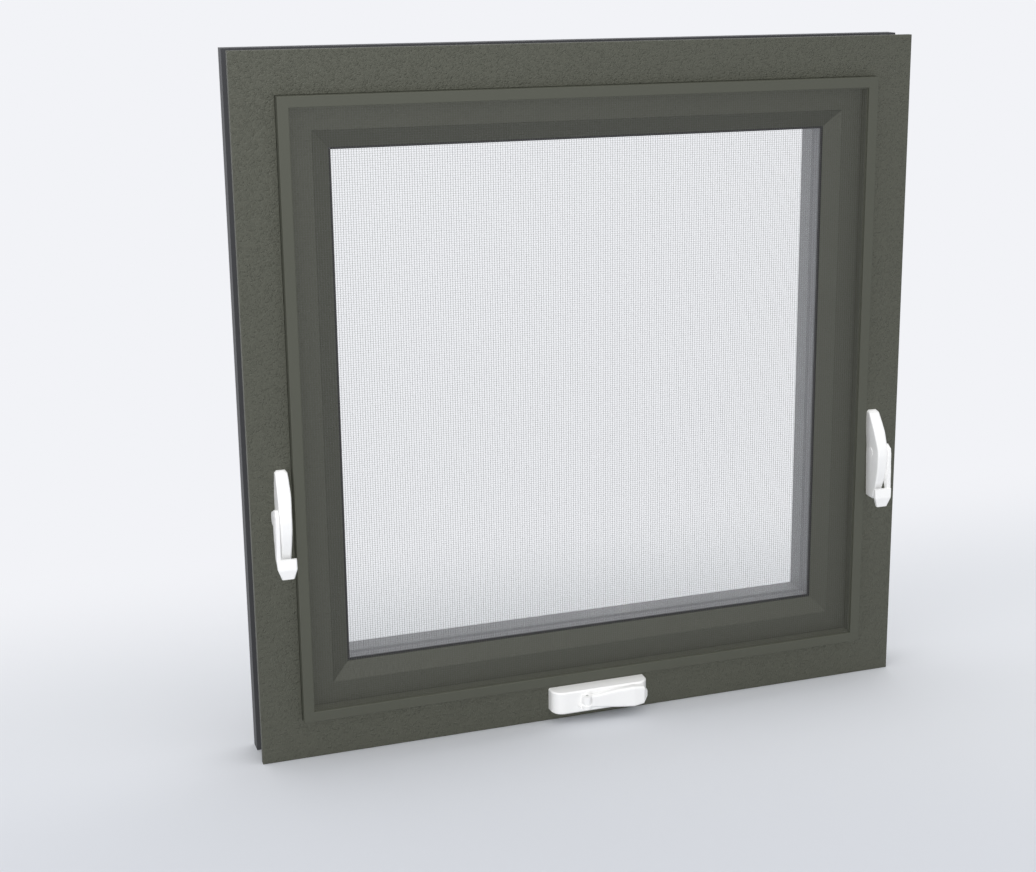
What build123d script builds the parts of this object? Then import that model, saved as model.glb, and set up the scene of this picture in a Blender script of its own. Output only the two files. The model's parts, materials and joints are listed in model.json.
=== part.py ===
"""Square awning window: mitred frame, screen, outward-opening sash, two locks and a folding crank.

Seen from the room, +X is to the right, +Y is towards the outdoors and +Z is up. The origin is
on the underside of the sill, at the middle of the window and of the outer foot that it stands on.
A section is drawn by its inset from the outer edge and its depth behind the room-side face.
"""
import os

from build123d import *

# Overall size of the window
WIDTH = 914.0
HEIGHT = 914.0
CORNER_GAP = 0.15

# Inner frame: wide room-side face, a ledge for the screen and a groove round the outside
FACE_WIDTH = 53.7
FLANGE_DEPTH = 9.0
GROOVE_INSET = 10.0
WEB_INSET = 57.5
LEDGE_DEPTH = 4.6
STOP_THICKNESS = 3.0
STOP_INSET = 68.5
EDGE_RADIUS = 1.0

# Outer frame cladding, which is also the foot that the window stands on
CLADDING_FRONT = 45.5
CLADDING_DEPTH = 22.0
CLADDING_INNER_INSET = 57.5
DRIP_GROOVE = 3.0

# Insect screen: proud smooth frame that drops into the ledge, with a step that the mesh lies on
SCREEN_PLAY = 0.3
SCREEN_PROUD = 11.6
SCREEN_BAR_WIDTH = 13.8
SCREEN_EDGE_RADIUS = 0.8
MESH_SEAT_WIDTH = 1.3
MESH_SEAT_DROP = 4.6
MESH_THICKNESS = 0.4
MESH_PLAY = 0.1
SCREEN_DRAFT = 0.9

# Sash: inner member, cladding, glazing bead
SASH_PLAY = 3.0
SASH_SEAT_GAP = 0.3
SASH_FACE_WIDTH = 37.8
SASH_RADIUS = 0.6
POCKET_INSET = 104.5
BEAD_WIDTH = 21.6
BEAD_NOSE_DEPTH = 18.6
SASH_CLADDING_FRONT = 44.2
SASH_CLADDING_DEPTH = 30.8
SIGHT_INSET = 123.6
SASH_CLADDING_RADIUS = 2.0

# Insulated glass and its seals
PANE_THICKNESS = 4.0
AIR_SPACE = 14.0
GLASS_FRONT = 21.2
GLASS_INSET = 108.0
SPACER_SIGHT_INSET = 122.0
SEAL_SIGHT_INSET = 122.8
SEAL_WIDTH = 9.0
SEAL_THICKNESS = 1.3
STRIP_DEPTH = 26.0
STRIP_WIDTH = 9.0
STRIP_GAP = 0.3

# Sash locks, one on each jamb: a moulded housing and the lever beside it
LOCK_HEIGHT = 337.0
LOCK_CENTRE_INSET = 38.3
LOCK_HOUSING_WIDTH = 15.4
LOCK_PIVOT_PROUD = 11.5
LOCK_TOP_RISE = 61.0
LOCK_BOTTOM_DROP = 73.0
LOCK_NOSE_PROUD = 36.0
LOCK_TOP_PROUD = 6.5
LOCK_HEEL_DROP = 50.0
LOCK_HEEL_PROUD = 25.6
LOCK_END_PROUD = 17.0
LOCK_TAPER = 3.0
LOCK_BULGE = 1.0
LOCK_NOSE_EASE = 8.0
LOCK_END_EASE = 3.0
LOCK_ROUNDING = 2.6
LEVER_SIDE_GAP = 0.6
LEVER_THICKNESS = 8.0
LEVER_BOSS_RADIUS = 9.0
LEVER_FRONT_PROUD = 35.4
LEVER_TOP_RISE = 14.0
LEVER_NECK_DEPTH = 8.5
LEVER_CHAMFER = 1.2
CUP_TOP_DROP = 48.5
CUP_BOTTOM_DROP = 74.0
CUP_BACK_PROUD = 32.0
CUP_FRONT_PROUD = 38.6
CUP_INNER_REACH = 11.0
CUP_TIP_WIDTH = 15.5
CUP_TIP_THICKNESS = 4.2
CUP_TIP_SHIFT = -0.5
PIN_RADIUS = 4.0
PIN_HEAD_RADIUS = 6.5
PIN_HEAD_HEIGHT = 1.4
PIN_HEAD_PROUD = 0.5
RUNNING_CLEARANCE = 0.06
SEAT_CLEARANCE = 0.02

# Crank at the middle of the sill: moulded cover, hub in its dish and a handle folded to the right
COVER_WIDTH = 138.7
COVER_OFFSET = 3.5
COVER_BOTTOM = 15.5
COVER_HEIGHT = 31.5
COVER_PROUD = 24.0
COVER_CORNER_RADIUS = 16.0
COVER_EDGE_CHAMFER = 1.8
DISH_X = -20.0
DISH_Z = 32.0
DISH_RADIUS = 13.0
DISH_DEPTH = 12.0
HUB_PLAY = 0.6
HUB_DROP = 3.4
HINGE_PROUD = 28.5
TONGUE_RADIUS = 5.5
TONGUE_HEIGHT = 8.0
TONGUE_GAP = 0.5
BARREL_RADIUS = 6.8
BARREL_HEIGHT = 18.0
BARREL_SLOT_PLAY = 1.0
HINGE_PIN_RADIUS = 2.0
HANDLE_REAR_GAP = 0.8
HANDLE_ROUNDING = 3.2
GRIP_LEFT = 47.0
HANDLE_RIGHT = 68.0
NECK_X = -6.0
NECK_TOP = 40.6
NECK_BOTTOM = 22.0
NECK_PROUD = 31.6
GRIP_TOP = 46.0
GRIP_BOTTOM = 16.4
GRIP_PROUD = 35.6
GRIP_EASE = 2.0
GRIP_END_HEIGHT = 12.0
GRIP_END_THICKNESS = 4.6

# Places worked out from the sizes above
FRAME_DEPTH = CLADDING_FRONT + CLADDING_DEPTH
FACE_Y = -(CLADDING_FRONT + CLADDING_DEPTH / 2)
STOP_BACK = LEDGE_DEPTH + STOP_THICKNESS
SASH_OUTER_INSET = WEB_INSET + SASH_PLAY
SASH_FRONT = STOP_BACK + SASH_SEAT_GAP
SASH_FACE_INSET = SASH_OUTER_INSET + SASH_FACE_WIDTH
GLASS_BACK = GLASS_FRONT + 2 * PANE_THICKNESS + AIR_SPACE
SASH_BACK = SASH_CLADDING_FRONT + SASH_CLADDING_DEPTH
SCREEN_OUTER_INSET = FACE_WIDTH + SCREEN_PLAY
SCREEN_INNER_INSET = SCREEN_OUTER_INSET + SCREEN_BAR_WIDTH
MESH_SEAT_DEPTH = MESH_SEAT_DROP - SCREEN_PROUD

os.makedirs("parts", exist_ok=True)


def save(part, name):
    """Label one finished piece and write it as a STEP file."""
    part.label = name
    export_step(part, f"parts/{name}.step")


# Each side of the window: section plane at the middle of its outer edge, and its length
SIDES = {
    "bottom": (Plane(origin=(0, FACE_Y, 0), x_dir=(0, 0, 1), z_dir=(-1, 0, 0)), WIDTH),
    "top": (Plane(origin=(0, FACE_Y, HEIGHT), x_dir=(0, 0, -1), z_dir=(1, 0, 0)), WIDTH),
    "left": (Plane(origin=(-WIDTH / 2, FACE_Y, HEIGHT / 2), x_dir=(1, 0, 0), z_dir=(0, 0, 1)), HEIGHT),
    "right": (Plane(origin=(WIDTH / 2, FACE_Y, HEIGHT / 2), x_dir=(-1, 0, 0), z_dir=(0, 0, -1)), HEIGHT),
}


def mitred(outline, side, front_radius=0.0, back_radius=0.0, gap=0.0):
    """Extrude a section of (inset, depth) points along one side and cut both ends at 45 degrees."""
    section, length = SIDES[side]
    with BuildPart() as member:
        with BuildSketch(section) as profile:
            with BuildLine():
                Polyline(*outline, close=True)
            make_face()
            if front_radius:
                fillet(profile.vertices().group_by(Axis.Y)[0], front_radius)
            if back_radius:
                fillet(profile.vertices().group_by(Axis.Y)[-1], back_radius)
        extrude(amount=length / 2, both=True)
        for end in (section.z_dir, -section.z_dir):
            corner = section.origin + end * (length / 2 - gap)
            split(bisect_by=Plane(origin=corner, z_dir=end + section.x_dir), keep=Keep.BOTTOM)
    return member.part


def ring(outline, gap=0.0):
    """Four separate strips of one section, as one piece of trim that meets at the corners."""
    with BuildPart() as strips:
        for side in SIDES:
            add(mitred(outline, side, gap=gap))
    return strips.part


def sheet(inset, front, thickness):
    """Flat sheet parallel to the face, set in from the window's outer edge all round."""
    with BuildPart() as pane:
        middle = Plane(origin=(0, FACE_Y + front, HEIGHT / 2), x_dir=(1, 0, 0), z_dir=(0, 1, 0))
        with BuildSketch(middle):
            Rectangle(WIDTH - 2 * inset, HEIGHT - 2 * inset)
        extrude(amount=thickness)
    return pane.part


def block(inset_a, inset_b, depth_a, depth_b):
    """Corner points of a plain rectangular section."""
    return [(inset_a, depth_a), (inset_b, depth_a), (inset_b, depth_b), (inset_a, depth_b)]


# Inner frame members
FRAME_OUTLINE = [
    (0, 0),
    (FACE_WIDTH, 0),
    (FACE_WIDTH, LEDGE_DEPTH),
    (STOP_INSET, LEDGE_DEPTH),
    (STOP_INSET, STOP_BACK),
    (WEB_INSET, STOP_BACK),
    (WEB_INSET, CLADDING_FRONT),
    (GROOVE_INSET, CLADDING_FRONT),
    (GROOVE_INSET, FLANGE_DEPTH),
    (0, FLANGE_DEPTH),
]
FRAME_NAMES = {"bottom": "sill", "top": "head", "left": "jamb_left", "right": "jamb_right"}
for side, name in FRAME_NAMES.items():
    save(mitred(FRAME_OUTLINE, side, front_radius=EDGE_RADIUS), f"frame_{name}")

# Outer frame cladding, with a drip groove in its outdoor face
DRIP_INSET = CLADDING_INNER_INSET / 2
CLADDING_OUTLINE = [
    (0, CLADDING_FRONT),
    (CLADDING_INNER_INSET, CLADDING_FRONT),
    (CLADDING_INNER_INSET, FRAME_DEPTH),
    (DRIP_INSET + DRIP_GROOVE, FRAME_DEPTH),
    (DRIP_INSET, FRAME_DEPTH - DRIP_GROOVE),
    (DRIP_INSET - DRIP_GROOVE, FRAME_DEPTH),
    (0, FRAME_DEPTH),
]
for side, name in FRAME_NAMES.items():
    save(mitred(CLADDING_OUTLINE, side), f"cladding_{name}")

# Screen frame members, and the mesh that lies on the step inside their front edge
SCREEN_BACK = LEDGE_DEPTH - SCREEN_PLAY
SCREEN_OUTLINE = [
    (SCREEN_OUTER_INSET, -SCREEN_PROUD),
    (SCREEN_INNER_INSET, -SCREEN_PROUD),
    (SCREEN_INNER_INSET, MESH_SEAT_DEPTH),
    (SCREEN_INNER_INSET + MESH_SEAT_WIDTH, MESH_SEAT_DEPTH),
    (SCREEN_INNER_INSET + MESH_SEAT_WIDTH + SCREEN_DRAFT, SCREEN_BACK),
    (SCREEN_OUTER_INSET, SCREEN_BACK),
]
BAR_NAMES = {"bottom": "rail_bottom", "top": "rail_top", "left": "stile_left", "right": "stile_right"}
for side, name in BAR_NAMES.items():
    save(mitred(SCREEN_OUTLINE, side, front_radius=SCREEN_EDGE_RADIUS), f"screen_{name}")
MESH_INSET = SCREEN_INNER_INSET + MESH_PLAY
save(sheet(MESH_INSET, MESH_SEAT_DEPTH - MESH_THICKNESS, MESH_THICKNESS), "insect_screen")

# Sash members, their outdoor cladding and the glazing beads with a sloped face
SASH_OUTLINE = [
    (SASH_OUTER_INSET, SASH_FRONT),
    (SASH_FACE_INSET, SASH_FRONT),
    (SASH_FACE_INSET, GLASS_FRONT),
    (POCKET_INSET, GLASS_FRONT),
    (POCKET_INSET, SASH_CLADDING_FRONT),
    (SASH_OUTER_INSET, SASH_CLADDING_FRONT),
]
SASH_CLADDING_OUTLINE = block(SASH_OUTER_INSET, SIGHT_INSET, SASH_CLADDING_FRONT, SASH_BACK)
BEAD_BACK = GLASS_FRONT - SEAL_THICKNESS
BEAD_OUTLINE = [
    (SASH_FACE_INSET, SASH_FRONT),
    (SASH_FACE_INSET + BEAD_WIDTH, BEAD_NOSE_DEPTH),
    (SASH_FACE_INSET + BEAD_WIDTH, BEAD_BACK),
    (SASH_FACE_INSET, BEAD_BACK),
]
for side, name in BAR_NAMES.items():
    save(mitred(SASH_OUTLINE, side, front_radius=SASH_RADIUS), f"sash_{name}")
    save(mitred(SASH_CLADDING_OUTLINE, side, back_radius=SASH_CLADDING_RADIUS), f"sash_cladding_{name}")
    save(mitred(BEAD_OUTLINE, side), f"bead_{side}")

# Two panes, the spacer with its sealant between them, and the seals on both sides
save(sheet(GLASS_INSET, GLASS_FRONT, PANE_THICKNESS), "glass_inner")
save(sheet(GLASS_INSET, GLASS_BACK - PANE_THICKNESS, PANE_THICKNESS), "glass_outer")
SPACER_OUTLINE = block(
    GLASS_INSET, SPACER_SIGHT_INSET, GLASS_FRONT + PANE_THICKNESS, GLASS_BACK - PANE_THICKNESS
)
save(ring(SPACER_OUTLINE, CORNER_GAP), "glass_spacer")
SEAL_OUTER_INSET = SEAL_SIGHT_INSET - SEAL_WIDTH
INNER_SEAL_OUTLINE = block(SEAL_OUTER_INSET, SEAL_SIGHT_INSET, BEAD_BACK, GLASS_FRONT)
OUTER_SEAL_OUTLINE = block(SEAL_OUTER_INSET, SEAL_SIGHT_INSET, GLASS_BACK, SASH_CLADDING_FRONT)
save(ring(INNER_SEAL_OUTLINE, CORNER_GAP), "seal_inner")
save(ring(OUTER_SEAL_OUTLINE, CORNER_GAP), "seal_outer")
STRIP_OUTLINE = block(
    WEB_INSET + STRIP_GAP, SASH_OUTER_INSET - STRIP_GAP, STRIP_DEPTH, STRIP_DEPTH + STRIP_WIDTH
)
save(ring(STRIP_OUTLINE, CORNER_GAP), "weatherstrip")

# Left sash lock; the right one is its mirror image. Across the lock, 0 is the housing's middle
LOCK_X = -WIDTH / 2 + LOCK_CENTRE_INSET
PIVOT_Y = FACE_Y - LOCK_PIVOT_PROUD
HALF_HOUSING = LOCK_HOUSING_WIDTH / 2
LEVER_INNER = -HALF_HOUSING - LEVER_SIDE_GAP
LEVER_OUTER = LEVER_INNER - LEVER_THICKNESS


def side_plane(x):
    """Plane seen from the room's left: sketch x is how far out of the face, sketch y is up."""
    return Plane(origin=(x, FACE_Y, LOCK_HEIGHT), x_dir=(0, -1, 0), z_dir=(-1, 0, 0))


def level(rise, across_a, across_b, rear, front, ease, size):
    """Sketch a level section of a lock piece, with its front corners eased by fillet or chamfer."""
    plane = Plane(origin=(LOCK_X, FACE_Y, LOCK_HEIGHT + rise), x_dir=(1, 0, 0), z_dir=(0, 0, 1))
    with BuildSketch(plane) as section:
        with Locations(((across_a + across_b) / 2, -(rear + front) / 2)):
            Rectangle(across_b - across_a, front - rear)
        ease(section.vertices().group_by(Axis.Y)[0], size)
    return section.sketch


# Housing sections from the bottom up: rise, trim on the lever's side and inboard, how far proud
LOCK_SLOPE = (LOCK_NOSE_PROUD - LOCK_TOP_PROUD) / LOCK_TOP_RISE
HOUSING_LEVELS = [
    (-LOCK_BOTTOM_DROP, LOCK_TAPER + LOCK_END_EASE, LOCK_END_EASE, LOCK_END_PROUD - LOCK_END_EASE),
    (LOCK_END_EASE - LOCK_BOTTOM_DROP, LOCK_TAPER, 0, LOCK_END_PROUD),
    (-LOCK_HEEL_DROP, LOCK_TAPER * 3 / 4, 0, LOCK_HEEL_PROUD),
    (-LOCK_HEEL_DROP / 2, LOCK_TAPER / 3, 0, (LOCK_NOSE_PROUD + LOCK_HEEL_PROUD) / 2 + LOCK_BULGE),
    (0, 0, 0, LOCK_NOSE_PROUD),
    (LOCK_NOSE_EASE, 0, 0, LOCK_NOSE_PROUD - LOCK_NOSE_EASE * LOCK_SLOPE / 2),
    (LOCK_TOP_RISE / 2, 0, 0, (LOCK_NOSE_PROUD + LOCK_TOP_PROUD) / 2 + 3 * LOCK_BULGE),
    (LOCK_TOP_RISE - LOCK_END_EASE, LOCK_END_EASE / 3, LOCK_END_EASE / 3, LOCK_TOP_PROUD + LOCK_BULGE),
    (LOCK_TOP_RISE, LOCK_END_EASE, LOCK_END_EASE, LOCK_TOP_PROUD - LOCK_END_EASE),
]
with BuildPart() as housing:
    sections = [
        level(rise, outboard - HALF_HOUSING, HALF_HOUSING - inboard, 0, proud, fillet, LOCK_ROUNDING)
        for rise, outboard, inboard, proud in HOUSING_LEVELS
    ]
    loft(sections, ruled=True)
    with Locations(Plane(origin=(LOCK_X + HALF_HOUSING, PIVOT_Y, LOCK_HEIGHT), z_dir=(1, 0, 0))):
        CounterBoreHole(
            PIN_RADIUS + SEAT_CLEARANCE,
            PIN_HEAD_RADIUS + SEAT_CLEARANCE,
            PIN_HEAD_HEIGHT - PIN_HEAD_PROUD,
        )

with BuildPart() as pin:
    with BuildSketch(Plane(origin=(LOCK_X + LEVER_OUTER, PIVOT_Y, LOCK_HEIGHT), z_dir=(1, 0, 0))):
        Circle(PIN_RADIUS)
    extrude(amount=HALF_HOUSING - LEVER_OUTER)
    HEAD_X = LOCK_X + HALF_HOUSING + PIN_HEAD_PROUD - PIN_HEAD_HEIGHT
    with BuildSketch(Plane(origin=(HEAD_X, PIVOT_Y, LOCK_HEIGHT), z_dir=(1, 0, 0))):
        Circle(PIN_HEAD_RADIUS)
    extrude(amount=PIN_HEAD_HEIGHT)

# Lever bar sections from the bottom up: rise, outboard side, how far its rear and front stand proud
CUP_FLARE = CUP_FRONT_PROUD - LEVER_FRONT_PROUD
LEVER_TOP_REAR = LOCK_PIVOT_PROUD + LEVER_BOSS_RADIUS
BAR_LEVELS = [
    (
        -CUP_TOP_DROP - LEVER_NECK_DEPTH,
        CUP_FLARE,
        CUP_BACK_PROUD - CUP_FLARE,
        CUP_FRONT_PROUD - CUP_FLARE / 2,
    ),
    (-CUP_TOP_DROP, CUP_FLARE / 2, LEVER_FRONT_PROUD - LEVER_NECK_DEPTH, LEVER_FRONT_PROUD),
    (-CUP_TOP_DROP / 2, 0, LEVER_FRONT_PROUD - 2 * LEVER_NECK_DEPTH, LEVER_FRONT_PROUD),
    (0, 0, LOCK_PIVOT_PROUD, LEVER_FRONT_PROUD),
    (LEVER_BOSS_RADIUS, 0, LOCK_PIVOT_PROUD, LEVER_FRONT_PROUD - CUP_FLARE / 2),
    (LEVER_TOP_RISE, LEVER_CHAMFER, LEVER_TOP_REAR, LEVER_FRONT_PROUD - LEVER_NECK_DEPTH),
]
# Finger cup sections from the bottom up: rise, outboard and inboard ends, front
CUP_TIP_RIGHT = CUP_TIP_SHIFT + CUP_TIP_WIDTH / 2
CUP_MIDDLE_DROP = (CUP_TOP_DROP + CUP_BOTTOM_DROP) / 2
CUP_LEVELS = [
    (-CUP_BOTTOM_DROP, CUP_TIP_SHIFT - CUP_TIP_WIDTH / 2, CUP_TIP_RIGHT, CUP_BACK_PROUD + CUP_TIP_THICKNESS),
    (-CUP_MIDDLE_DROP, LEVER_OUTER + CUP_FLARE, CUP_INNER_REACH, CUP_FRONT_PROUD),
    (-CUP_TOP_DROP, LEVER_OUTER + CUP_FLARE / 2, CUP_INNER_REACH, CUP_FRONT_PROUD - CUP_FLARE / 2),
]
with BuildPart() as lever:
    with BuildSketch(side_plane(LOCK_X + LEVER_INNER)):
        with Locations((LOCK_PIVOT_PROUD, 0)):
            Circle(LEVER_BOSS_RADIUS)
    extrude(amount=LEVER_THICKNESS)
    sections = [
        level(rise, LEVER_OUTER + trim, LEVER_INNER, rear, front, chamfer, LEVER_CHAMFER)
        for rise, trim, rear, front in BAR_LEVELS
    ]
    loft(sections, ruled=True)
    sections = [
        level(rise, outboard, inboard, CUP_BACK_PROUD, front, chamfer, LEVER_CHAMFER)
        for rise, outboard, inboard, front in CUP_LEVELS
    ]
    loft(sections, ruled=True)
    with Locations(Plane(origin=(LOCK_X + LEVER_OUTER, PIVOT_Y, LOCK_HEIGHT), z_dir=(-1, 0, 0))):
        Hole(PIN_RADIUS + RUNNING_CLEARANCE, LEVER_THICKNESS)

for piece, name in ((housing, "housing"), (pin, "pin"), (lever, "lever")):
    with BuildPart() as mirrored:
        add(piece.part)
        mirror(about=Plane.YZ, mode=Mode.REPLACE)
    save(mirrored.part, f"lock_right_{name}")
    save(piece.part, f"lock_left_{name}")

# Crank cover with a round dish, and the hub disc that fills most of it
COVER_FRONT_Y = FACE_Y - COVER_PROUD
with BuildPart() as cover:
    with BuildSketch(Plane.XY.offset(COVER_BOTTOM)) as plan:
        with Locations((COVER_OFFSET, FACE_Y - COVER_PROUD / 2)):
            Rectangle(COVER_WIDTH, COVER_PROUD)
        fillet(plan.vertices().group_by(Axis.Y)[0], COVER_CORNER_RADIUS)
    extrude(amount=COVER_HEIGHT)
    rims = cover.edges().filter_by(lambda edge: edge.center().Y < FACE_Y - 1).group_by(Axis.Z)
    chamfer(rims[0] + rims[-1], COVER_EDGE_CHAMFER)
    with Locations(Plane(origin=(DISH_X, COVER_FRONT_Y, DISH_Z), z_dir=(0, -1, 0))):
        Hole(DISH_RADIUS, DISH_DEPTH)
save(cover.part, "crank_cover")

HINGE_Y = FACE_Y - HINGE_PROUD
HUB_REAR_Y = COVER_FRONT_Y + DISH_DEPTH
HUB_FRONT_Y = COVER_FRONT_Y + HUB_DROP
HINGE_PLANE = Plane(origin=(DISH_X, HINGE_Y, DISH_Z), z_dir=(0, 0, 1))
with BuildPart() as hub:
    with BuildSketch(Plane(origin=(DISH_X, HUB_REAR_Y, DISH_Z), x_dir=(1, 0, 0), z_dir=(0, -1, 0))):
        Circle(DISH_RADIUS - HUB_PLAY)
    extrude(amount=HUB_REAR_Y - HUB_FRONT_Y)
    with BuildSketch(HINGE_PLANE):
        Circle(TONGUE_RADIUS)
        with Locations((0, (HUB_FRONT_Y - HINGE_Y) / 2)):
            Rectangle(2 * TONGUE_RADIUS, HUB_FRONT_Y - HINGE_Y)
    extrude(amount=TONGUE_HEIGHT / 2, both=True)
    with Locations(HINGE_PLANE.offset(TONGUE_HEIGHT / 2)):
        Hole(HINGE_PIN_RADIUS + RUNNING_CLEARANCE, TONGUE_HEIGHT)
save(hub.part, "crank_hub")

with BuildPart() as hinge_pin:
    with BuildSketch(HINGE_PLANE):
        Circle(HINGE_PIN_RADIUS)
    extrude(amount=BARREL_HEIGHT / 2, both=True)
save(hinge_pin.part, "crank_hinge_pin")


# Folding handle, lying in front of the cover: barrel at the hub, narrow neck, round grip at the end
def upright(x, bottom, top, proud):
    """Sketch an upright section of the handle at one place along it, with rounded front corners."""
    rear = COVER_PROUD + HANDLE_REAR_GAP
    plane = Plane(origin=(x, FACE_Y, 0), x_dir=(0, -1, 0), z_dir=(-1, 0, 0))
    with BuildSketch(plane) as section:
        with Locations(((rear + proud) / 2, (bottom + top) / 2)):
            Rectangle(proud - rear, top - bottom)
        fillet(section.vertices().group_by(Axis.X)[-1], HANDLE_ROUNDING)
    return section.sketch


GRIP_MIDDLE = (GRIP_TOP + GRIP_BOTTOM) / 2
GRIP_SHOULDER = HANDLE_RIGHT - 2 * HANDLE_ROUNDING
MIDDLE_PROUD = (2 * NECK_PROUD + GRIP_PROUD) / 3
HANDLE_SECTIONS = [
    (DISH_X + BARREL_RADIUS / 2, DISH_Z - BARREL_HEIGHT / 2, DISH_Z + BARREL_HEIGHT / 2, NECK_PROUD),
    (NECK_X, NECK_BOTTOM, NECK_TOP, NECK_PROUD),
    (GRIP_LEFT / 2, (NECK_BOTTOM + 2 * GRIP_BOTTOM) / 3, (NECK_TOP + 2 * GRIP_TOP) / 3, MIDDLE_PROUD),
    (GRIP_LEFT, GRIP_BOTTOM, GRIP_TOP, GRIP_PROUD),
    (GRIP_SHOULDER, GRIP_BOTTOM + GRIP_EASE, GRIP_TOP - GRIP_EASE, GRIP_PROUD - GRIP_EASE / 2),
    (
        HANDLE_RIGHT,
        GRIP_MIDDLE - GRIP_END_HEIGHT / 2,
        GRIP_MIDDLE + GRIP_END_HEIGHT / 2,
        COVER_PROUD + HANDLE_REAR_GAP + GRIP_END_THICKNESS,
    ),
]
with BuildPart() as handle:
    loft([upright(*section) for section in HANDLE_SECTIONS], ruled=True)
    with BuildSketch(HINGE_PLANE):
        Circle(BARREL_RADIUS)
    extrude(amount=BARREL_HEIGHT / 2, both=True)
    slot_height = TONGUE_HEIGHT + 2 * TONGUE_GAP
    slot_reach = TONGUE_RADIUS + BARREL_SLOT_PLAY
    with BuildSketch(HINGE_PLANE.offset(-slot_height / 2)):
        with Locations(((slot_reach - 2 * BARREL_RADIUS) / 2, 0)):
            Rectangle(slot_reach + 2 * BARREL_RADIUS, 4 * BARREL_RADIUS)
    extrude(amount=slot_height, mode=Mode.SUBTRACT)
    with Locations(HINGE_PLANE.offset(BARREL_HEIGHT / 2)):
        Hole(HINGE_PIN_RADIUS + SEAT_CLEARANCE)
save(handle.part, "crank_handle")
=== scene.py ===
"""Dresses the square awning window in its finishes and sets it in a plain pale studio.

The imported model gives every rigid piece. This file lays the screen's wires, rounds the side locks, paints
and lights the pieces and places the camera where the photograph was taken. Lengths are in metres, apart
from those of the locks' castings, which say so.
"""
import json
import logging
import math
from dataclasses import dataclass, field
from enum import Enum

import bmesh
import bpy
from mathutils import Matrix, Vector


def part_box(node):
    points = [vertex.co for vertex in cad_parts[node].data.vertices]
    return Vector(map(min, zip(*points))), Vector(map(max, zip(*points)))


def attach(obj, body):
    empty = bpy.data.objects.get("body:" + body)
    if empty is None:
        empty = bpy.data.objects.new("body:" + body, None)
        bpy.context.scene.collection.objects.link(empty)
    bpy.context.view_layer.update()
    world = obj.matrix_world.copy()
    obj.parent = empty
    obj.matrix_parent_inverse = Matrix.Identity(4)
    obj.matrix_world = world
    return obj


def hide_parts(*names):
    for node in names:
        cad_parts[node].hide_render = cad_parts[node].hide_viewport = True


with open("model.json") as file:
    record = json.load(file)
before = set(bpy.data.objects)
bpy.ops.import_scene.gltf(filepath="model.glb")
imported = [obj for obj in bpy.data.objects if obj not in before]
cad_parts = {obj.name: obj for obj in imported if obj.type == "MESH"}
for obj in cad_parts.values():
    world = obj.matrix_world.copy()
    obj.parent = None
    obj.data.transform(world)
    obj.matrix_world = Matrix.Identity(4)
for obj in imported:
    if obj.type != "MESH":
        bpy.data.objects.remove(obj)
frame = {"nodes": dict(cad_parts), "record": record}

LOG = logging.getLogger("window")
MM_PER_M = 1000
MERGE_DISTANCE = 0.00001
CUT_TOLERANCE = 0.0001
Colour = tuple[float, float, float]
Table = tuple[tuple[float, float], ...]


class Axis(Enum):
    """Direction in which a set of wires runs."""

    UP = "up"
    ACROSS = "across"


class Value:
    """A number that flows through a shader tree, with arithmetic written as Python operators."""

    def __init__(self, graph: "Graph", socket: bpy.types.NodeSocket) -> None:
        """Keep the tree and the output socket that the number comes from."""
        self.graph = graph
        self.socket = socket

    def _join(self, operation: str, first: object, second: object) -> "Value":
        """Add one Math node.

        Args:
            operation: Name of the Math operation.
            first: Left operand, a Value or a number.
            second: Right operand, a Value or a number.

        Returns:
            The node's result.
        """
        maths = self.graph.node("ShaderNodeMath", {"operation": operation}, {0: first, 1: second})
        return Value(self.graph, maths.outputs[0])

    def __abs__(self) -> "Value":
        """Size without its sign, which turns soft noise into creases."""
        return self._join("ABSOLUTE", self, 0.0)

    def __add__(self, other: object) -> "Value":
        """Sum."""
        return self._join("ADD", self, other)

    def __radd__(self, other: object) -> "Value":
        """Sum with the number on the left."""
        return self._join("ADD", other, self)

    def __sub__(self, other: object) -> "Value":
        """Difference."""
        return self._join("SUBTRACT", self, other)

    def __mul__(self, other: object) -> "Value":
        """Product."""
        return self._join("MULTIPLY", self, other)

    def __pow__(self, other: object) -> "Value":
        """Power."""
        return self._join("POWER", self, other)

    def smooth(self, low: float, high: float) -> "Value":
        """Ease from 0 at low to 1 at high.

        Args:
            low: Input at which the result leaves 0.
            high: Input at which the result reaches 1.

        Returns:
            The eased number.
        """
        settings = {"interpolation_type": "SMOOTHSTEP"}
        sockets = {"Value": self, "From Min": low, "From Max": high}
        ramp = self.graph.node("ShaderNodeMapRange", settings, sockets)
        return Value(self.graph, ramp.outputs["Result"])


class Graph:
    """A node tree, filled with one method for every kind of node."""

    def __init__(self, tree: bpy.types.NodeTree) -> None:
        """Take over a tree and empty it."""
        self.tree = tree
        self.tree.nodes.clear()

    def node(self, kind: str, settings: dict | None = None, sockets: dict | None = None) -> bpy.types.Node:
        """Add a node, set its options first and then its sockets.

        Args:
            kind: Blender's name of the node type.
            settings: Options of the node.
            sockets: Values or links, by the name or index of the input.

        Returns:
            The new node.
        """
        added = self.tree.nodes.new(kind)
        for option, setting in (settings or {}).items():
            setattr(added, option, setting)
        for key, given in (sockets or {}).items():
            self.feed(added.inputs[key], given)
        return added

    def feed(self, target: bpy.types.NodeSocket, given: object) -> None:
        """Link or set one input.

        Args:
            target: Input socket.
            given: Value, output socket, colour or number.
        """
        if isinstance(given, Value):
            self.tree.links.new(given.socket, target)
        elif isinstance(given, bpy.types.NodeSocket):
            self.tree.links.new(given, target)
        elif isinstance(given, tuple) and target.type == "RGBA":
            target.default_value = (*given, 1.0)
        else:
            target.default_value = given


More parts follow.
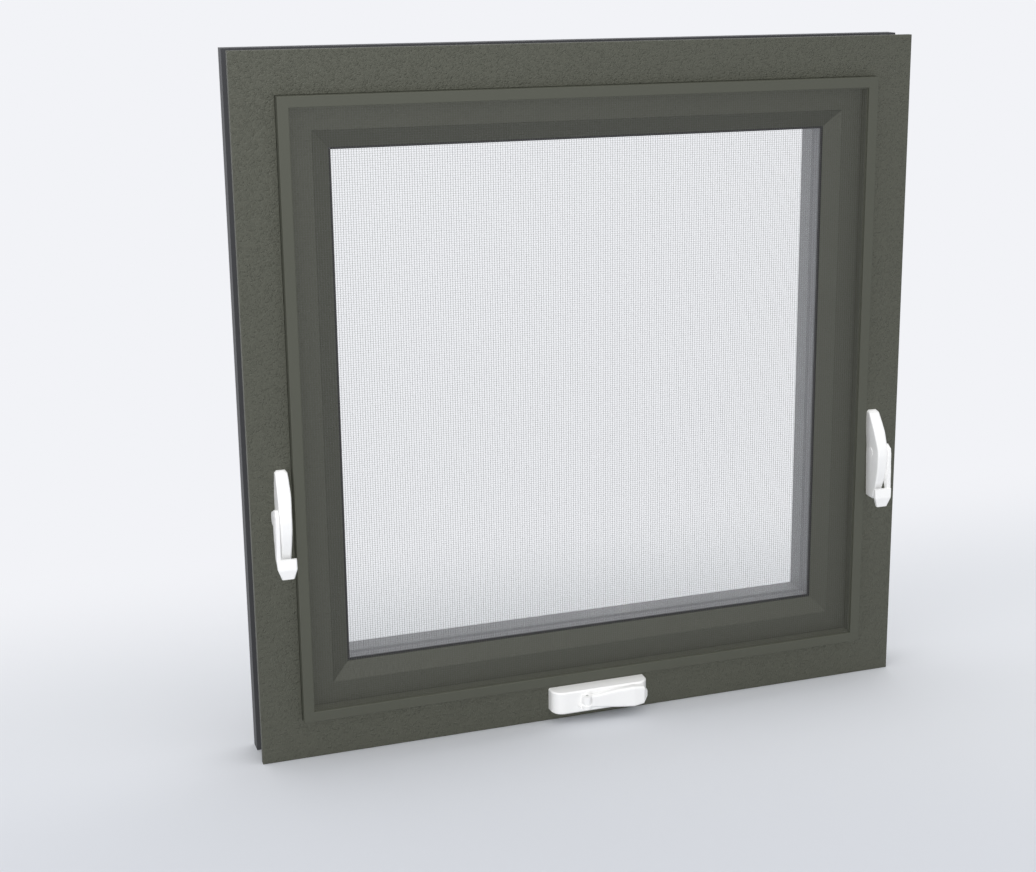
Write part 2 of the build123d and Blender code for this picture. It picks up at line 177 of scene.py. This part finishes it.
class Shade(Graph):
    """A material's node tree."""

    def __init__(self, name: str) -> None:
        """Start an empty material."""
        self.material = bpy.data.materials.new(name)
        self.material.use_nodes = True
        super().__init__(self.material.node_tree)

    def place(self) -> bpy.types.NodeSocket:
        """Object coordinates, which are the window's own metres."""
        return self.node("ShaderNodeTexCoord").outputs["Object"]

    def noise(self, size: float, detail: float = 2.0, roughness: float = 0.5) -> Value:
        """Noise between 0 and 1.

        Args:
            size: Typical width of a patch.
            detail: Number of finer layers.
            roughness: Strength of the finer layers.

        Returns:
            The noise.
        """
        sockets = {"Vector": self.place(), "Scale": 1.0 / size, "Detail": detail, "Roughness": roughness}
        return Value(self, self.node("ShaderNodeTexNoise", None, sockets).outputs["Fac"])

    def blend(self, share: object, first: object, second: object) -> bpy.types.NodeSocket:
        """Mix two colours.

        Args:
            share: Share of the second colour.
            first: Colour at 0.
            second: Colour at 1.

        Returns:
            The mixed colour.
        """
        mixer = self.node("ShaderNodeMix", {"data_type": "RGBA"}, {0: share, 6: first, 7: second})
        return mixer.outputs[2]

    def bump(self, height: Value, depth: float) -> bpy.types.NodeSocket:
        """Normal of a relief.

        Args:
            height: Relief between 0 and 1.
            depth: Depth of the relief.

        Returns:
            The normal.
        """
        sockets = {"Height": height, "Distance": depth, "Strength": 1.0}
        return self.node("ShaderNodeBump", None, sockets).outputs["Normal"]

    def finish(self, shader: bpy.types.NodeSocket) -> bpy.types.Material:
        """Connect the surface and hand over the material.

        Args:
            shader: Shader output of the last node.

        Returns:
            The finished material.
        """
        self.node("ShaderNodeOutputMaterial", None, {"Surface": shader})
        return self.material


@dataclass(frozen=True)
class Paint:
    """Paint film with a grain in its surface and a slow drift in its tone."""

    name: str
    colour: Colour
    roughness: float
    grain_size: float
    grain_depth: float
    tone_drift: float = 0.06
    gloss: float = 0.3
    drift_size: float = 0.12
    fine_ratio: float = 4.0
    crease_share: float = 1.2
    grain_share: float = 0.4
    fine_share: float = 0.2
    sheen_change: float = 0.12
    grain_tone: float = 0.4

    def material(self) -> bpy.types.Material:
        """Build the paint's shader."""
        shade = Shade(self.name)
        grain = shade.noise(self.grain_size, 3.0, 0.55)
        fine = shade.noise(self.grain_size / self.fine_ratio)
        drift = shade.noise(self.drift_size)
        dark = tuple(channel * (1 - self.tone_drift) for channel in self.colour)
        light = tuple(channel * (1 + self.tone_drift) for channel in self.colour)
        relief = abs(grain - 0.5) * self.crease_share + grain * self.grain_share + fine * self.fine_share
        lightness = drift * (1 - self.grain_tone) + grain * self.grain_tone
        sockets = {
            "Base Color": shade.blend(lightness, dark, light),
            "Roughness": self.roughness + (grain - 0.5) * self.sheen_change,
            "Specular IOR Level": self.gloss,
            "Normal": shade.bump(relief, self.grain_depth),
        }
        return shade.finish(shade.node("ShaderNodeBsdfPrincipled", None, sockets).outputs[0])


@dataclass(frozen=True)
class Metal:
    """Bare or anodised metal with fine scratches."""

    name: str
    colour: Colour
    roughness: float
    scratch_size: float = 0.0008
    scratch_depth: float = 0.00002
    worn_tone: float = 0.9
    worn_sheen: float = 0.1

    def material(self) -> bpy.types.Material:
        """Build the metal's shader."""
        shade = Shade(self.name)
        scratches = shade.noise(self.scratch_size, 4.0)
        worn = tuple(channel * self.worn_tone for channel in self.colour)
        sockets = {
            "Base Color": shade.blend(scratches, worn, self.colour),
            "Metallic": 1.0,
            "Roughness": self.roughness + scratches * self.worn_sheen,
            "Normal": shade.bump(scratches, self.scratch_depth),
        }
        return shade.finish(shade.node("ShaderNodeBsdfPrincipled", None, sockets).outputs[0])


@dataclass(frozen=True)
class Glass:
    """Clear float glass: it lets light straight through and mirrors more towards grazing angles."""

    name: str
    tint: Colour
    film: float
    grazing: float
    dust_size: float = 0.03
    dust_film: float = 0.01
    clean_roughness: float = 0.03
    dust_roughness: float = 0.02

    def material(self) -> bpy.types.Material:
        """Build the glass shader."""
        shade = Shade(self.name)
        edge = shade.node("ShaderNodeLayerWeight", None, {"Blend": 0.25}).outputs["Facing"]
        dust = shade.noise(self.dust_size, 3.0)
        alpha = self.film + Value(shade, edge) ** 3 * self.grazing + dust * self.dust_film
        sockets = {
            "Base Color": self.tint,
            "Roughness": self.clean_roughness + dust * self.dust_roughness,
            "Alpha": alpha,
        }
        return shade.finish(shade.node("ShaderNodeBsdfPrincipled", None, sockets).outputs[0])


OLIVE: Colour = (0.084, 0.0865, 0.067)
# Painted light: the sash cladding is the same slate cladding as the frame, but this grey is about three
# times lighter, as painted daylight for the light that falls on it through the glass. The outdoor fill lamps
# light it as well, and the spacer and the outer seal wear the same grey.
SASH_GREY_WITH_PAINTED_DAYLIGHT: Colour = (0.165, 0.167, 0.178)
FINISHES = {
    "frame_finish": Paint("olive_grained_paint", OLIVE, 0.52, 0.0032, 0.0021),
    "sash_finish": Paint("olive_sash_paint", (0.081, 0.084, 0.067), 0.6, 0.0025, 0.0010),
    "screen_frame_finish": Paint("olive_screen_frame_paint", (0.079, 0.082, 0.064), 0.55, 0.002, 0.0001),
    "cladding_finish": Paint("slate_cladding_paint", (0.052, 0.053, 0.057), 0.55, 0.002, 0.0001),
    "sash_cladding_finish": Paint("sash_cladding_paint_with_painted_daylight", SASH_GREY_WITH_PAINTED_DAYLIGHT, 0.5, 0.002, 0.0001),
    "screen_mesh": Paint("dark_wire_coating", (0.09, 0.09, 0.085), 0.5, 0.001, 0.00002),
    "glass": Glass("clear_glass", (0.82, 0.86, 0.86), 0.03, 0.35),
    "spacer_bar": Paint("spacer_coating_with_painted_daylight", SASH_GREY_WITH_PAINTED_DAYLIGHT, 0.6, 0.001, 0.00002),
    "seal_rubber": Paint("black_seal_rubber", (0.03, 0.03, 0.032), 0.7, 0.001, 0.00005),
    "white_hardware": Paint("white_hardware_enamel", (0.93, 0.93, 0.925), 0.35, 0.004, 0.00002, 0.01, 0.5),
    "pin_steel": Metal("pin_steel", (0.6, 0.6, 0.6), 0.3),
}
# Starts of the names of the pieces behind the glass
OUTDOOR_PIECES = ("sash_cladding", "glass_spacer", "seal_outer")
# Pieces that show another slot's finish than their own: the outer seal wears the spacer's grey, which holds
# painted daylight, in place of its own rubber finish
BORROWED_SLOTS = {"seal_outer": "spacer_bar"}


@dataclass
class Painter:
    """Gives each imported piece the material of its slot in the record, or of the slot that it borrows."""

    materials: dict[str, bpy.types.Material] = field(default_factory=dict)

    def mix(self) -> None:
        """Build every finish once."""
        self.materials = {slot: finish.material() for slot, finish in FINISHES.items()}

    def dress(self, nodes: dict[str, bpy.types.Object], record: dict) -> None:
        """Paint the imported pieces.

        Args:
            nodes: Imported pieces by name.
            record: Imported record, which names each piece's slot.
        """
        for subpart in record["subparts"]:
            piece = nodes[subpart["node"]]
            material = self.materials[BORROWED_SLOTS.get(subpart["node"], subpart["material_slot"])]
            if not piece.material_slots:
                piece.data.materials.append(material)
            for place in piece.material_slots:
                place.material = material
            LOG.info("painted %s with %s", piece.name, material.name)


class Recipe(Graph):
    """A Geometry Nodes tree with named inputs."""

    def __init__(self, name: str) -> None:
        """Start a tree that makes geometry from its inputs alone."""
        super().__init__(bpy.data.node_groups.new(name, "GeometryNodeTree"))
        for direction in ("INPUT", "OUTPUT"):
            self.tree.interface.new_socket(
                "Geometry", in_out=direction, socket_type="NodeSocketGeometry"
            )
        self.start = self.node("NodeGroupInput")
        self.idents: dict[str, str] = {}

    def size(self, name: str, kind: str = "NodeSocketFloat") -> bpy.types.NodeSocket:
        """Declare one named input.

        Args:
            name: Name of the input.
            kind: Socket type of the input.

        Returns:
            The input's socket inside the tree.
        """
        made = self.tree.interface.new_socket(name, in_out="INPUT", socket_type=kind)
        self.idents[name] = made.identifier
        return self.start.outputs[name]

    def bake(self, name: str, sizes: dict[str, object]) -> bpy.types.Object:
        """Run the tree once and keep its result as a plain mesh.

        Args:
            name: Name of the piece.
            sizes: Values of the named inputs.

        Returns:
            An object at the origin whose mesh is the result.
        """
        carrier = bpy.data.objects.new(f"{name}_maker", bpy.data.meshes.new(f"{name}_seed"))
        bpy.context.scene.collection.objects.link(carrier)
        modifier = carrier.modifiers.new("tree", "NODES")
        modifier.node_group = self.tree
        for given_name, given in sizes.items():
            modifier[self.idents[given_name]] = given
        graph = bpy.context.evaluated_depsgraph_get()
        mesh = bpy.data.meshes.new_from_object(carrier.evaluated_get(graph))
        mesh.name = name
        carrier.modifiers.remove(modifier)
        bpy.data.objects.remove(carrier)
        piece = bpy.data.objects.new(name, mesh)
        bpy.context.scene.collection.objects.link(piece)
        return piece


def clamp(share: float) -> float:
    """Keep a share between 0 and 1."""
    return min(max(share, 0.0), 1.0)


def read_off(table: Table, place: float) -> float:
    """Read a table of places and offsets, straight between its rows and level beyond them.

    Args:
        table: Rows in rising order of place.
        place: Where to read.

    Returns:
        The offset there.
    """
    before = table[0]
    for row in table:
        if place <= row[0]:
            share = (place - before[0]) / max(row[0] - before[0], 1e-9)
            return before[1] + (row[1] - before[1]) * max(share, 0.0)
        before = row
    return before[1]


@dataclass(frozen=True)
class Casting:
    """Moulded part of a side lock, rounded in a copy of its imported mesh.

    Its lengths are in millimetres, and its tables give offsets by rise above the lock's pivot: bulge draws
    the front out, inner and outer draw the flanks towards the glass, and lift raises the piece.
    """

    part: str
    body: str
    bulge: Table = ((0.0, 0.0),)
    inner: Table = ((0.0, 0.0),)
    outer: Table = ((0.0, 0.0),)
    lift: Table = ((0.0, 0.0),)
    pivot_height: float = 337.0
    inset: float = 418.7
    half_width: float = 7.7
    face: float = -56.5
    outer_reach: float = 16.3
    step: float = 5.0
    sharp: float = 40.0

    def round_off(self, nodes: dict[str, bpy.types.Object], side: str, hand: int) -> bpy.types.Object:
        """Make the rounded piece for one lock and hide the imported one.

        Args:
            nodes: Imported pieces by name.
            side: Name of the side, left or right.
            hand: -1 on the left, 1 on the right.

        Returns:
            The new piece.
        """
        node = f"lock_{side}_{self.part}"
        packed = nodes[node]
        shape = bmesh.new()
        shape.from_mesh(packed.data)
        shape.transform(packed.matrix_world)
        bmesh.ops.remove_doubles(shape, verts=shape.verts, dist=MERGE_DISTANCE)
        self.slice(shape)
        fronts = self.fronts(shape)
        for vertex in shape.verts:
            self.move(vertex, hand, fronts)
        mesh = bpy.data.meshes.new(f"{node}_rounded")
        shape.to_mesh(mesh)
        shape.free()
        if "custom_normal" in mesh.attributes:
            mesh.attributes.remove(mesh.attributes["custom_normal"])
        for place in packed.material_slots:
            mesh.materials.append(place.material)
        mesh.shade_smooth()
        mesh.set_sharp_from_angle(angle=math.radians(self.sharp))
        piece = bpy.data.objects.new(f"{node}_rounded", mesh)
        bpy.context.scene.collection.objects.link(piece)
        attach(piece, self.body.format(side=side))
        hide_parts(node)
        return piece

    def slice(self, shape: bmesh.types.BMesh) -> None:
        """Cut level lines into the surface, so that it can bend between them."""
        heights = [vertex.co.z for vertex in shape.verts]
        low = min(heights)
        for count in range(1, int((max(heights) - low) * MM_PER_M / self.step) + 1):
            level = Vector((0, 0, low + count * self.step / MM_PER_M))
            every = [*shape.verts, *shape.edges, *shape.faces]
            bmesh.ops.bisect_plane(
                shape, geom=every, dist=CUT_TOLERANCE, plane_co=level, plane_no=(0, 0, 1)
            )

    def fronts(self, shape: bmesh.types.BMesh) -> Table:
        """How far the surface stands proud at each height."""
        reach = {}
        for vertex in shape.verts:
            rise = round(vertex.co.z * MM_PER_M - self.pivot_height)
            reach[rise] = max(reach.get(rise, 0.0), self.face - vertex.co.y * MM_PER_M)
        return tuple(sorted(reach.items()))

    def move(self, vertex: bmesh.types.BMVert, hand: int, fronts: Table) -> None:
        """Shift one vertex by the tables.

        Args:
            vertex: The vertex.
            hand: -1 on the left, 1 on the right.
            fronts: Reach of the front by rise.
        """
        rise = vertex.co.z * MM_PER_M - self.pivot_height
        proud = self.face - vertex.co.y * MM_PER_M
        outboard = vertex.co.x * MM_PER_M * hand - self.inset
        forward = clamp(2 * proud / max(read_off(fronts, rise), 1.0) - 1)
        inboard = clamp((self.half_width - outboard) / (2 * self.half_width))
        past = clamp((outboard - self.half_width) / (self.outer_reach - self.half_width))
        inwards = read_off(self.inner, rise) * inboard + read_off(self.outer, rise) * past
        shift = (-hand * inwards, -read_off(self.bulge, rise) * forward, read_off(self.lift, rise))
        vertex.co += Vector(shift) / MM_PER_M


CASTINGS = (
    Casting(
        "housing",
        "window",
        bulge=(
            (-50, 0.0),
            (-45, 0.5),
            (-35, 1.2),
            (-15, 1.1),
            (-8, 0.3),
            (0, -0.7),
            (8, 0.2),
            (15, 1.0),
            (24, 1.4),
            (38, 2.4),
            (48, 2.2),
            (58, 1.4),
        ),
        inner=((-73, -2.0), (-30, -0.8), (-9, 0.0), (9, 0.1), (22, 1.2), (35, 2.0), (48, 2.6), (61, 3.0)),
        lift=((-73, 5.0), (-50, 0.0), (30, 0.0), (61, -2.0)),
    ),
    Casting(
        "lever",
        "lock_{side}",
        outer=((-57, 0.0), (-45, 1.0), (-33, 2.2), (-20, 2.8), (-10, 3.2)),
    ),
    Casting("pin", "window", outer=((0, 3.2),)),
)


@dataclass
class WovenScreen:
    """Insect screen of straight wires, some up and some across, drawn tight in its frame."""

    node: str = "insect_screen"
    pitches: tuple[float, float] = (0.00326, 0.00286)
    gauges: tuple[float, float] = (0.00034, 0.00022)
    sides: int = 5

    def recipe(self, axis: Axis) -> Recipe:
        """Make the tree that repeats one wire.

        Args:
            axis: Direction in which its wires run.

        Returns:
            The tree, with inputs for count, step, start, length, wire size and material.
        """
        recipe = Recipe(f"wires_{axis.value}")
        count = recipe.size("Count", "NodeSocketInt")
        step = recipe.size("Step", "NodeSocketVector")
        first = recipe.size("First", "NodeSocketVector")
        length = recipe.size("Length")
        radius = recipe.size("Radius")
        finish = recipe.size("Finish", "NodeSocketMaterial")
        turn = (0.0, math.pi / 2, 0.0) if axis is Axis.ACROSS else (0.0, 0.0, 0.0)
        line_sizes = {"Count": count, "Start Location": first, "Offset": step}
        line = recipe.node("GeometryNodeMeshLine", None, line_sizes)
        rod_sizes = {"Vertices": self.sides, "Radius": radius, "Depth": length}
        rod = recipe.node("GeometryNodeMeshCylinder", {"fill_type": "NGON"}, rod_sizes)
        lay = {"Geometry": rod.outputs["Mesh"], "Rotation": turn}
        laid = recipe.node("GeometryNodeTransform", None, lay)
        repeat = {"Points": line.outputs["Mesh"], "Instance": laid.outputs[0]}
        rods = recipe.node("GeometryNodeInstanceOnPoints", None, repeat)
        real = recipe.node("GeometryNodeRealizeInstances", None, {"Geometry": rods.outputs[0]})
        coat = {"Geometry": real.outputs[0], "Material": finish}
        coated = recipe.node("GeometryNodeSetMaterial", None, coat)
        recipe.node("NodeGroupOutput", None, {0: coated.outputs[0]})
        return recipe

    def weave(self, material: bpy.types.Material) -> list[bpy.types.Object]:
        """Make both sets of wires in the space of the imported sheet.

        Args:
            material: Coating of the wires.

        Returns:
            The two pieces.
        """
        low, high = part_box(self.node)
        middle = (low + high) / 2
        size = high - low
        pieces = []
        for axis, wire, pitch in zip(Axis, self.gauges, self.pitches):
            across = axis is Axis.ACROSS
            span, length = (size.z, size.x) if across else (size.x, size.z)
            count = int(span / pitch)
            reach = (count - 1) * pitch / 2
            step = Vector((0, 0, pitch)) if across else Vector((pitch, 0, 0))
            side = wire / 2 if across else -wire / 2
            first = middle + Vector((0, side, 0)) - step.normalized() * reach
            sizes = {
                "Count": count,
                "Step": step,
                "First": first,
                "Length": length,
                "Radius": wire / 2,
                "Finish": material,
            }
            piece = self.recipe(axis).bake(f"screen_wires_{axis.value}", sizes)
            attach(piece, "window")
            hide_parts(self.node)
            LOG.info("wove %d wires %s", count, axis.value)
            pieces.append(piece)
        return pieces


@dataclass
class Studio:
    """Pale floor, plain backdrop and soft lamps."""

    backdrop: Colour = (0.888, 0.896, 0.930)
    floor_tone: Colour = (0.80, 0.82, 0.86)
    # Painted shade: the floor's tone darkens from floor_tone to this near tone towards the front and the
    # left of the window.
    painted_shade_tone: Colour = (0.735, 0.758, 0.810)
    painted_shade_edge: float = -0.6
    painted_shade_start: float = 0.0
    painted_shade_slant: float = 0.37
    floor_half: float = 14.0
    fade_start: float = 0.15
    fade_end: float = 0.75
    round_start: float = 2.8
    round_end: float = 4.5
    ambient: float = 0.40
    key_place: tuple[float, float, float] = (-1.0, -1.7, 1.6)
    key_size: float = 0.8
    key_power: float = 17.0
    room_fill: tuple[float, float, float] = (-0.13, -0.25, 0.37)
    reveal_fill: tuple[float, float, float] = (-0.27, -0.20, 0.19)
    outdoor_fill: tuple[float, float, float] = (0.20, 0.50, 0.0)
    ceiling_height: float = 3.0
    ceiling_size: float = 12.0
    ceiling_power: float = 325.0
    aim: tuple[float, float, float] = (0.0, 0.0, 0.45)

    def build(self, window: list[bpy.types.Object], outdoor_side: list[bpy.types.Object]) -> None:
        """Make the floor, the world and the lamps.

        Args:
            window: All pieces of the window.
            outdoor_side: Those behind the glass, which the light from outdoors falls on.
        """
        ground = self.floor()
        self.world()
        key = self.softbox("key_softbox", Vector(self.key_place), self.key_size, self.key_power, False)
        ceiling = self.softbox(
            "ceiling_softbox", Vector((0, 0, self.ceiling_height)), self.ceiling_size, self.ceiling_power
        )
        self.restrict(key, window)
        self.restrict(self.fill("room_fill", Vector(self.room_fill)), window)
        self.restrict(self.fill("reveal_fill", Vector(self.reveal_fill)), outdoor_side)
        self.restrict(self.fill("outdoor_fill", Vector(self.outdoor_fill)), outdoor_side)
        self.restrict(ceiling, [ground])

    def restrict(self, lamp: bpy.types.Object, lit: list[bpy.types.Object]) -> None:
        """Let a lamp light only some pieces.

        Args:
            lamp: The lamp.
            lit: The pieces that it lights.
        """
        receivers = bpy.data.collections.new(f"{lamp.name}_receivers")
        for piece in lit:
            receivers.objects.link(piece)
        lamp.light_linking.receiver_collection = receivers

    def floor(self) -> bpy.types.Object:
        """Lay a floor that fades into the backdrop, soonest behind the window, with painted shade that
        darkens it towards the front and the left.
        """
        half = self.floor_half
        square = [(-half, -half, 0), (half, -half, 0), (half, half, 0), (-half, half, 0)]
        mesh = bpy.data.meshes.new("studio_floor")
        mesh.from_pydata(square, [], [(0, 1, 2, 3)])
        ground = bpy.data.objects.new("studio_floor", mesh)
        bpy.context.scene.collection.objects.link(ground)
        shade = Shade("pale_floor")
        parts = shade.node("ShaderNodeSeparateXYZ", None, {0: shade.place()})
        depth = Value(shade, parts.outputs["Y"])
        aside = Value(shade, parts.outputs["X"])
        # Painted shade: a mask that darkens the floor towards the front and the left of the window.
        painted_shade = (depth + aside * self.painted_shade_slant).smooth(self.painted_shade_edge, self.painted_shade_start)
        tone = shade.blend(painted_shade, self.painted_shade_tone, self.floor_tone)
        matt = shade.node("ShaderNodeBsdfDiffuse", None, {"Color": tone})
        glow = shade.node("ShaderNodeEmission", None, {"Color": self.backdrop, "Strength": 1.0})
        reach = (depth ** 2 + aside ** 2) ** 0.5
        share = depth.smooth(self.fade_start, self.fade_end) + reach.smooth(self.round_start, self.round_end)
        mixer = shade.node("ShaderNodeMixShader", None, {0: share, 1: matt.outputs[0], 2: glow.outputs[0]})
        mesh.materials.append(shade.finish(mixer.outputs[0]))
        return ground

    def world(self) -> None:
        """Show the backdrop to the eye and in reflections, and light the window more dimly."""
        world = bpy.data.worlds.new("studio_world")
        bpy.context.scene.world = world
        world.use_nodes = True
        graph = Graph(world.node_tree)
        rays = graph.node("ShaderNodeLightPath").outputs
        backdrop = {"Color": self.backdrop, "Strength": 1.0}
        daylight = {"Color": (1.0, 1.0, 1.0), "Strength": self.ambient}
        seen = graph.node("ShaderNodeBackground", None, backdrop).outputs[0]
        lit = graph.node("ShaderNodeBackground", None, daylight).outputs[0]
        direct = rays["Is Camera Ray"]
        for kind in ("Is Glossy Ray", "Is Transmission Ray"):
            either = graph.node("ShaderNodeMath", {"operation": "MAXIMUM"}, {0: direct, 1: rays[kind]})
            direct = either.outputs[0]
        mixer = graph.node("ShaderNodeMixShader", None, {0: direct, 1: lit, 2: seen})
        graph.node("ShaderNodeOutputWorld", None, {"Surface": mixer.outputs[0]})

    def fill(self, name: str, towards: Vector) -> bpy.types.Object:
        """Add plain directional light without shadows.

        Args:
            name: Name of the lamp.
            towards: Direction it comes from; its length is the share of full daylight.

        Returns:
            The lamp.
        """
        light = bpy.data.lights.new(name, "SUN")
        light.energy = towards.length * math.pi
        light.use_shadow = False
        holder = bpy.data.objects.new(name, light)
        holder.rotation_euler = towards.to_track_quat("Z", "Y").to_euler()
        bpy.context.scene.collection.objects.link(holder)
        return holder

    def softbox(
        self, name: str, place: Vector, size: float, power: float, shadow: bool = True
    ) -> bpy.types.Object:
        """Hang one square softbox that faces the middle of the window.

        Args:
            name: Name of the lamp.
            place: Where it hangs.
            size: Width of its face.
            power: Its power in watts.
            shadow: Whether it casts shadows.

        Returns:
            The lamp.
        """
        light = bpy.data.lights.new(name, "AREA")
        light.energy = power
        light.size = size
        light.use_shadow = shadow
        holder = bpy.data.objects.new(name, light)
        holder.location = place
        towards = Vector(self.aim) - place
        holder.rotation_euler = towards.to_track_quat("-Z", "Y").to_euler()
        bpy.context.scene.collection.objects.link(holder)
        return holder


@dataclass
class PhotoCamera:
    """Camera solved from the photograph's straight lines."""

    place: tuple[float, float, float] = (-0.7926, -2.2377, 1.0615)
    yaw: float = 20.43
    pitch: float = 14.41
    focal_pixels: float = 1814.4
    photo_width: float = 1036.0
    photo_height: float = 872.0
    centre: tuple[float, float] = (607.3, 387.4)
    sensor: float = 36.0

    def build(self) -> None:
        """Make the camera and set it as the scene's."""
        lens = bpy.data.cameras.new("photo_camera")
        lens.sensor_width = self.sensor
        lens.lens = self.focal_pixels / self.photo_width * self.sensor
        lens.shift_x = (self.photo_width / 2 - self.centre[0]) / self.photo_width
        lens.shift_y = (self.centre[1] - self.photo_height / 2) / self.photo_width
        holder = bpy.data.objects.new("photo_camera", lens)
        holder.location = self.place
        holder.rotation_euler = (math.radians(90 - self.pitch), 0.0, math.radians(-self.yaw))
        bpy.context.scene.collection.objects.link(holder)
        bpy.context.scene.camera = holder


def main() -> None:
    """Build the window's looks in order and report each piece."""
    logging.basicConfig(level=logging.INFO, format="%(message)s")
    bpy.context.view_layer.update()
    bpy.context.scene.view_settings.view_transform = "Standard"
    PhotoCamera().build()
    nodes = frame["nodes"]
    painter = Painter()
    painter.mix()
    painter.dress(nodes, frame["record"])
    added = WovenScreen().weave(painter.materials["screen_mesh"])
    for side, hand in (("left", -1), ("right", 1)):
        added += [casting.round_off(nodes, side, hand) for casting in CASTINGS]
    outdoor_side = [piece for name, piece in nodes.items() if name.startswith(OUTDOOR_PIECES)]
    Studio().build([*nodes.values(), *added], outdoor_side)


if __name__ == "__main__":
    main()
